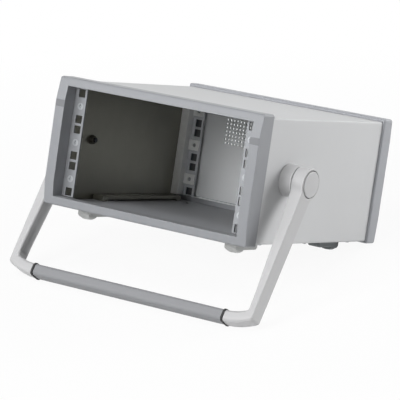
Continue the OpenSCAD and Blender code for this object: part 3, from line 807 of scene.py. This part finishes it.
class RACKCASE_OT_handle(bpy.types.Operator):
    """Makes the handle: two cast arms, the grip and its seal rings"""

    bl_idname = "rackcase.handle"
    bl_label = "Handle"

    def execute(self, context):
        arm = self.arm(context.scene.rack_case_sizes)
        for side, sign in (("left", -1), ("right", 1)):
            mesh = arm.copy()
            if sign < 0:
                mesh.transform(Matrix.Scale(-1, 4, (1, 0, 0)))
                mesh.flip_normals()
            mesh.transform(HANDLE)
            place(f"arm_{side}_piece", evened(mesh), "handle", "arm_paint", f"arm_{side}")
            soft_piece(f"ring_{side}", "handle", "ring_rubber", 0.7 * MM)
        soft_piece("grip", "handle", "grip_plastic", 0.5 * MM)
        return {"FINISHED"}

    @staticmethod
    def arm(sizes):
        """The right-hand arm in the handle's frame, with its recess, bore, spigot and hollow."""
        low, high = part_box("arm_right")
        end_x, out_x, stub_x = low.x, high.x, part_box("ring_right")[1].x
        web, recess, bore, spigot = 4.5 * MM, 16.7 * MM, 6.05 * MM, 5 * MM
        recess_edge, spigot_edge, overlap, through = 0.35 * MM, 0.5 * MM, 2 * MM, 30 * MM
        hollow_start, hollow_clear = sizes.hub_radius + 9 * MM, 8 * MM
        floor_x, past_x = out_x - sizes.hub_thick + web, out_x + MM
        lay = Matrix.Rotation(math.pi / 2, 4, "Y")
        cutters = [turned([(0, floor_x), (recess, floor_x), (recess, out_x - recess_edge),
                           (recess + recess_edge + MM, past_x), (0, past_x)], sides=96),
                   turned([(0, out_x - through), (bore, out_x - through), (bore, out_x),
                           (0, out_x)])]
        pin = turned([(0, end_x), (spigot - spigot_edge, end_x), (spigot, end_x + spigot_edge),
                      (spigot, stub_x + overlap), (0, stub_x + overlap)], sides=48)
        half, deep = sizes.hollow_half, sizes.hollow_deep
        bend = (half * half + deep * deep) / (2 * deep)
        sweep = math.asin(half / bend)
        dish = [(bend * math.sin(a), bend * math.cos(a) - bend + deep)
                for a in steps(-sweep, sweep, 15)]
        hollow = prism([(-half, -hollow_clear), *dish, (half, -hollow_clear)],
                       hollow_start, ARM_LENGTH - sizes.hollow_end)
        for mesh in cutters + [pin, hollow]:
            mesh.transform(lay)
        pin.transform(Matrix.Translation((0, 0, -ARM_LENGTH)))
        # the arm gets thinner downwards, and the hollow follows its inner side
        taper_from, taper_to = taper_ends(sizes)
        for v in hollow.vertices:
            share = min((taper_from - v.co.z) / (taper_from - taper_to), 1)
            v.co.x += out_x - sizes.hub_thick + (sizes.hub_thick - sizes.arm_thick) * share
        skin = cut(arm_skin(arm_stations(sizes)), pin, operation="UNION")
        return cut(skin, hollow, *cutters)


class RACKCASE_OT_buttons(bpy.types.Operator):
    """Makes the two push-buttons, each a guide disc with a slightly crowned cap"""

    bl_idname = "rackcase.buttons"
    bl_label = "Buttons"

    def execute(self, context):
        pivot = Vector(SWING["pos_m"])
        inset, plate, soft = 0.92 * MM, 2.5 * MM, 0.3 * MM
        rim_drop, rim_in, rim_up, rim_steps = 1.2 * MM, 0.9 * MM, 0.7 * MM, 4
        for side, sign in (("left", -1), ("right", 1)):
            low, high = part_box(f"button_{side}")
            inner, outer = sorted((abs(low.x), abs(high.x)))
            outer += context.scene.rack_case_sizes.button_proud
            guide = (high.y - low.y) / 2
            cap, rim = guide - inset, outer - rim_drop
            profile = [(0, inner), (guide - soft, inner), (guide, inner + soft),
                       (guide, inner + plate - soft), (guide - soft, inner + plate),
                       (cap, inner + plate), (cap, rim)]
            profile += [(cap - rim_in * (1 - math.cos(a)), rim + rim_up * math.sin(a))
                        for a in steps(0, math.pi / 2, rim_steps + 1)[1:]]
            edge, shoulder = profile[-1]
            profile += [(edge * r, shoulder + (outer - shoulder) * (1 - r * r))
                        for r in (0.8, 0.55, 0.3)]
            mesh = turned(profile + [(0, outer)])
            mesh.transform(Matrix.Translation((0, pivot.y, pivot.z))
                           @ Matrix.Rotation(sign * math.pi / 2, 4, "Y"))
            place(f"button_{side}_piece", evened(mesh, 40), f"{side}_button", "button_plastic",
                  f"button_{side}")
        return {"FINISHED"}


def screw_field():
    """A node tree that repeats one screw, its axis along Z, over a grid and sets it in place."""
    tree = bpy.data.node_groups.new("screw_field", "GeometryNodeTree")
    face = tree.interface
    face.new_socket("Geometry", in_out="OUTPUT", socket_type="NodeSocketGeometry")
    for name, kind in (("Screw", "Geometry"), ("Columns", "Int"), ("Rows", "Int"),
                       ("Width", "Float"), ("Height", "Float"), ("Turn", "Rotation"),
                       ("Place", "Vector"), ("Finish", "Material")):
        face.new_socket(name, in_out="INPUT", socket_type="NodeSocket" + kind)
    given = add(tree, "NodeGroupInput").outputs
    grid = add(tree, "GeometryNodeMeshGrid", links={
        "Size X": given["Width"], "Size Y": given["Height"],
        "Vertices X": given["Columns"], "Vertices Y": given["Rows"]})
    spread = add(tree, "GeometryNodeInstanceOnPoints", links={
        "Points": grid.outputs["Mesh"], "Instance": given["Screw"]})
    plain = add(tree, "GeometryNodeRealizeInstances", links={"Geometry": spread.outputs[0]})
    stood = add(tree, "GeometryNodeTransform", links={
        "Geometry": plain.outputs[0], "Rotation": given["Turn"], "Translation": given["Place"]})
    coated = add(tree, "GeometryNodeSetMaterial", links={
        "Geometry": stood.outputs[0], "Material": given["Finish"]})
    add(tree, "NodeGroupOutput", links={"Geometry": coated.outputs[0]})
    return tree


def screw(head, height, shank, length, sunk):
    """One cross-recess screw, seat at Z = 0 and head up: domed, or sunk flush with a cone below."""
    blunt, edge = shank * 0.3, 0.12 * MM
    brim, fullness = 0.35, 0.55  # the domed head's straight part, and the power of its dome
    cross_deep = 1.1 * MM if sunk else height * 0.6
    profile = [(0, -length), (shank - blunt, -length), (shank, -length + blunt)]
    if sunk:
        profile += [(shank, shank - head), (head, -edge), (head - edge, 0), (0, 0)]
    else:
        profile += [(shank, 0), (head, 0), (head, height * brim)]
        profile += [(head * math.cos(a) ** fullness, height * (brim + (1 - brim) * math.sin(a)))
                    for a in (math.radians(d) for d in (25, 45, 62, 76))]
        profile += [(0, height)]
    top = 0 if sunk else height
    deep, above = top - cross_deep, top + MM
    arm, wide = head * 0.52, head * 0.14
    mesh = cut(turned(profile, sides=40),
               block((-arm, -wide, deep), (arm, wide, above)),
               block((-wide, -arm, deep), (wide, arm, above)))
    mesh.shade_smooth()
    mesh.set_sharp_from_angle(angle=math.radians(30))
    return mesh


class RACKCASE_OT_screws(bpy.types.Operator):
    """Repeats the rail, panel, base and foot screws over their grids"""

    bl_idname = "rackcase.screws"
    bl_label = "Screws"

    def execute(self, context):
        tree = screw_field()
        names = {s.name: s.identifier for s in tree.interface.items_tree
                 if s.item_type == "SOCKET" and s.in_out == "INPUT"}
        fields = (
            # node, head radius, height and shank radius in mm, flush, rows, seat, turn, finish
            ("rail_screws", 4.3, 0, 2.4, True, 3, "y_low", 90, "screw_steel"),
            ("panel_screws", 4.6, 2.8, 2.4, False, 3, "y_high", -90, "screw_steel"),
            ("base_screws", 3.0, 1.8, 1.4, False, 3, "z_low", 180, "screw_steel"),
            ("foot_screws", 3.8, 2.4, 2.0, False, 2, "z_low", 180, "dark_steel"),
        )
        for node, head, height, shank, flush, rows, seat, turn, slot in fields:
            low, high = case_box(node)
            head, height, shank = head * MM, height * MM, shank * MM
            middle = (low + high) / 2
            if seat == "z_low":
                length = high.z - low.z - height
                middle.z = low.z + height
                tall = high.y - low.y - 2 * head
            else:
                length = high.y - low.y - height
                middle.y = low.y if seat == "y_low" else high.y - height
                tall = high.z - low.z - 2 * head
            holder = bpy.data.objects.new(node + "_holder",
                                          screw(head, height, shank, length, flush))
            context.scene.collection.objects.link(holder)
            field = holder.modifiers.new("field", "NODES")
            field.node_group = tree
            field[names["Columns"]] = 2
            field[names["Rows"]] = rows
            field[names["Width"]] = high.x - low.x - 2 * head
            field[names["Height"]] = tall
            field[names["Turn"]] = (math.radians(turn) - TILT, 0.0, 0.0)
            field[names["Place"]] = tuple(CASE @ middle)
            field[names["Finish"]] = finish(slot)
            graph = context.evaluated_depsgraph_get()
            mesh = bpy.data.meshes.new_from_object(holder.evaluated_get(graph), depsgraph=graph)
            bpy.data.objects.remove(holder)
            place(node + "_piece", mesh, "case", slot, node)
        return {"FINISHED"}


class RACKCASE_OT_stage(bpy.types.Operator):
    """Sets the pale floor, the soft studio light and the camera"""

    bl_idname = "rackcase.stage"
    bl_label = "Stage"

    def execute(self, context):
        scene = context.scene
        self.floor(scene)
        self.world(scene)
        target = Vector((0, 0, 0.12))
        lamps = (
            # name, place, size, power
            ("key", (1.75, 1.95, 0.72), 1.5, 49),
            ("front_right", (0.3, -2.6, 1.12), 0.8, 3),
            ("front_low", (0.3, -2.6, 0.45), 0.8, 3.5),
            ("front_high", (-0.35, -2.4, 1.5), 0.8, 32),
            ("front_left", (-1.45, -2.07, 1.23), 1.0, 9),
            ("front_top", (0, -1.3, 2.5), 1.4, 27),
            ("top", (0.3, 0.6, 2.8), 1.4, 12),
        )
        for name, at, size, power in lamps:
            light = bpy.data.lights.new(name, "AREA")
            light.shape = "DISK"
            light.size = size
            light.energy = power
            lamp = bpy.data.objects.new(name, light)
            aim = (target - Vector(at)).to_track_quat("-Z", "Y")
            lamp.matrix_world = Matrix.Translation(at) @ aim.to_matrix().to_4x4()
            scene.collection.objects.link(lamp)
        self.camera(scene)
        scene.view_settings.view_transform = "Standard"
        return {"FINISHED"}

    @staticmethod
    def looked_at(tree):
        """1 for rays that show the background: straight, or by way of a shiny or clear surface."""
        rays = add(tree, "ShaderNodeLightPath").outputs
        mirrored = add(tree, "ShaderNodeMath", {"operation": "MAXIMUM"},
                       {0: rays["Is Glossy Ray"], 1: rays["Is Transmission Ray"]})
        both = add(tree, "ShaderNodeMath", {"operation": "MAXIMUM"},
                   {0: rays["Is Camera Ray"], 1: mirrored.outputs[0]})
        return both.outputs[0]

    def floor(self, scene):
        """A floor that shows as white with a faint shadow, and lights the case as pale paper."""
        half, thick = 6, 0.02
        made = bpy.data.materials.new("pale_floor")
        made.use_nodes = True
        tree = made.node_tree
        tree.nodes.clear()
        paper = add(tree, "ShaderNodeBsdfDiffuse", {"Color": (0.82, 0.82, 0.82, 1)})
        white = add(tree, "ShaderNodeEmission", {"Strength": 1.0})
        # the shadow fades out with distance, so the floor meets the background without a line
        spot = add(tree, "ShaderNodeTexCoord").outputs["Object"]
        away = add(tree, "ShaderNodeVectorMath", {"operation": "LENGTH"}, {0: spot})
        share = add(tree, "ShaderNodeMapRange",
                    {"From Min": 0.25, "From Max": 0.9, "To Min": 0.93, "To Max": 1.0},
                    {"Value": away.outputs["Value"]})
        seen = add(tree, "ShaderNodeMath", {"operation": "MULTIPLY"},
                   {0: self.looked_at(tree), 1: share.outputs[0]})
        mixed = add(tree, "ShaderNodeMixShader", links={
            0: seen.outputs[0], 1: paper.outputs[0], 2: white.outputs[0]})
        add(tree, "ShaderNodeOutputMaterial", links={"Surface": mixed.outputs[0]})
        mesh = block((-half, -half, -thick), (half, half, 0))
        mesh.materials.append(made)
        floor = bpy.data.objects.new("floor", mesh)
        scene.collection.objects.link(floor)

    def world(self, scene):
        """A background that shows as white, and lights the case as a dim room."""
        world = bpy.data.worlds.new("studio")
        world.use_nodes = True
        tree = world.node_tree
        tree.nodes.clear()
        room = add(tree, "ShaderNodeBackground", {"Color": (1, 1, 1, 1), "Strength": 0.02})
        white = add(tree, "ShaderNodeBackground", {"Color": (1, 1, 1, 1), "Strength": 1.0})
        mixed = add(tree, "ShaderNodeMixShader", links={
            0: self.looked_at(tree), 1: room.outputs[0], 2: white.outputs[0]})
        add(tree, "ShaderNodeOutputWorld", links={"Surface": mixed.outputs[0]})
        scene.world = world

    @staticmethod
    def camera(scene):
        """The camera, worked out in the level case frame from the rack holes and bezel edges."""
        at = Vector((1.812576, -2.619094, 0.288061))
        right = Vector((0.81700832, 0.55835484, 0.14400444))
        down = Vector((0.17644043, -0.00431528, -0.98430186))
        ahead = Vector((-0.54896828, 0.82959102, -0.10204199))
        axes = Matrix((right, -down, -ahead)).transposed().to_4x4()
        lens = bpy.data.cameras.new("camera")
        lens.sensor_width = 36
        lens.lens = 243.592
        lens.clip_end = 50
        camera = bpy.data.objects.new("camera", lens)
        camera.matrix_world = CASE @ Matrix.Translation(at) @ axes
        scene.collection.objects.link(camera)
        scene.camera = camera


PIECES = (RACKCASE_OT_bezels, RACKCASE_OT_cover, RACKCASE_OT_rails, RACKCASE_OT_rear_panel,
          RACKCASE_OT_runners, RACKCASE_OT_feet, RACKCASE_OT_pivots, RACKCASE_OT_handle,
          RACKCASE_OT_buttons, RACKCASE_OT_screws, RACKCASE_OT_stage)


class RACKCASE_PT_panel(bpy.types.Panel):
    """Lists the pieces, sizes and colours of the rack case"""

    bl_idname = "RACKCASE_PT_panel"
    bl_label = "Rack case"
    bl_space_type = "VIEW_3D"
    bl_region_type = "UI"
    bl_category = "Rack case"

    def draw(self, context):
        for kind in PIECES:
            self.layout.operator(kind.bl_idname)
        for group in (context.scene.rack_case_sizes, context.scene.rack_case_colours):
            column = self.layout.column(align=True)
            for name in group.__annotations__:
                column.prop(group, name)


CLASSES = (RackCaseSizes, RackCaseColours) + PIECES + (RACKCASE_PT_panel,)


def register():
    for kind in CLASSES:
        bpy.utils.register_class(kind)
    bpy.types.Scene.rack_case_sizes = PointerProperty(type=RackCaseSizes)
    bpy.types.Scene.rack_case_colours = PointerProperty(type=RackCaseColours)


def unregister():
    del bpy.types.Scene.rack_case_colours
    del bpy.types.Scene.rack_case_sizes
    for kind in reversed(CLASSES):
        bpy.utils.unregister_class(kind)


def main():
    register()
    bpy.ops.rackcase.stage()
    bpy.ops.rackcase.bezels()
    bpy.ops.rackcase.cover()
    bpy.ops.rackcase.rails()
    bpy.ops.rackcase.rear_panel()
    bpy.ops.rackcase.runners()
    bpy.ops.rackcase.feet()
    bpy.ops.rackcase.pivots()
    bpy.ops.rackcase.handle()
    bpy.ops.rackcase.buttons()
    bpy.ops.rackcase.screws()


if __name__ == "__main__":
    main()
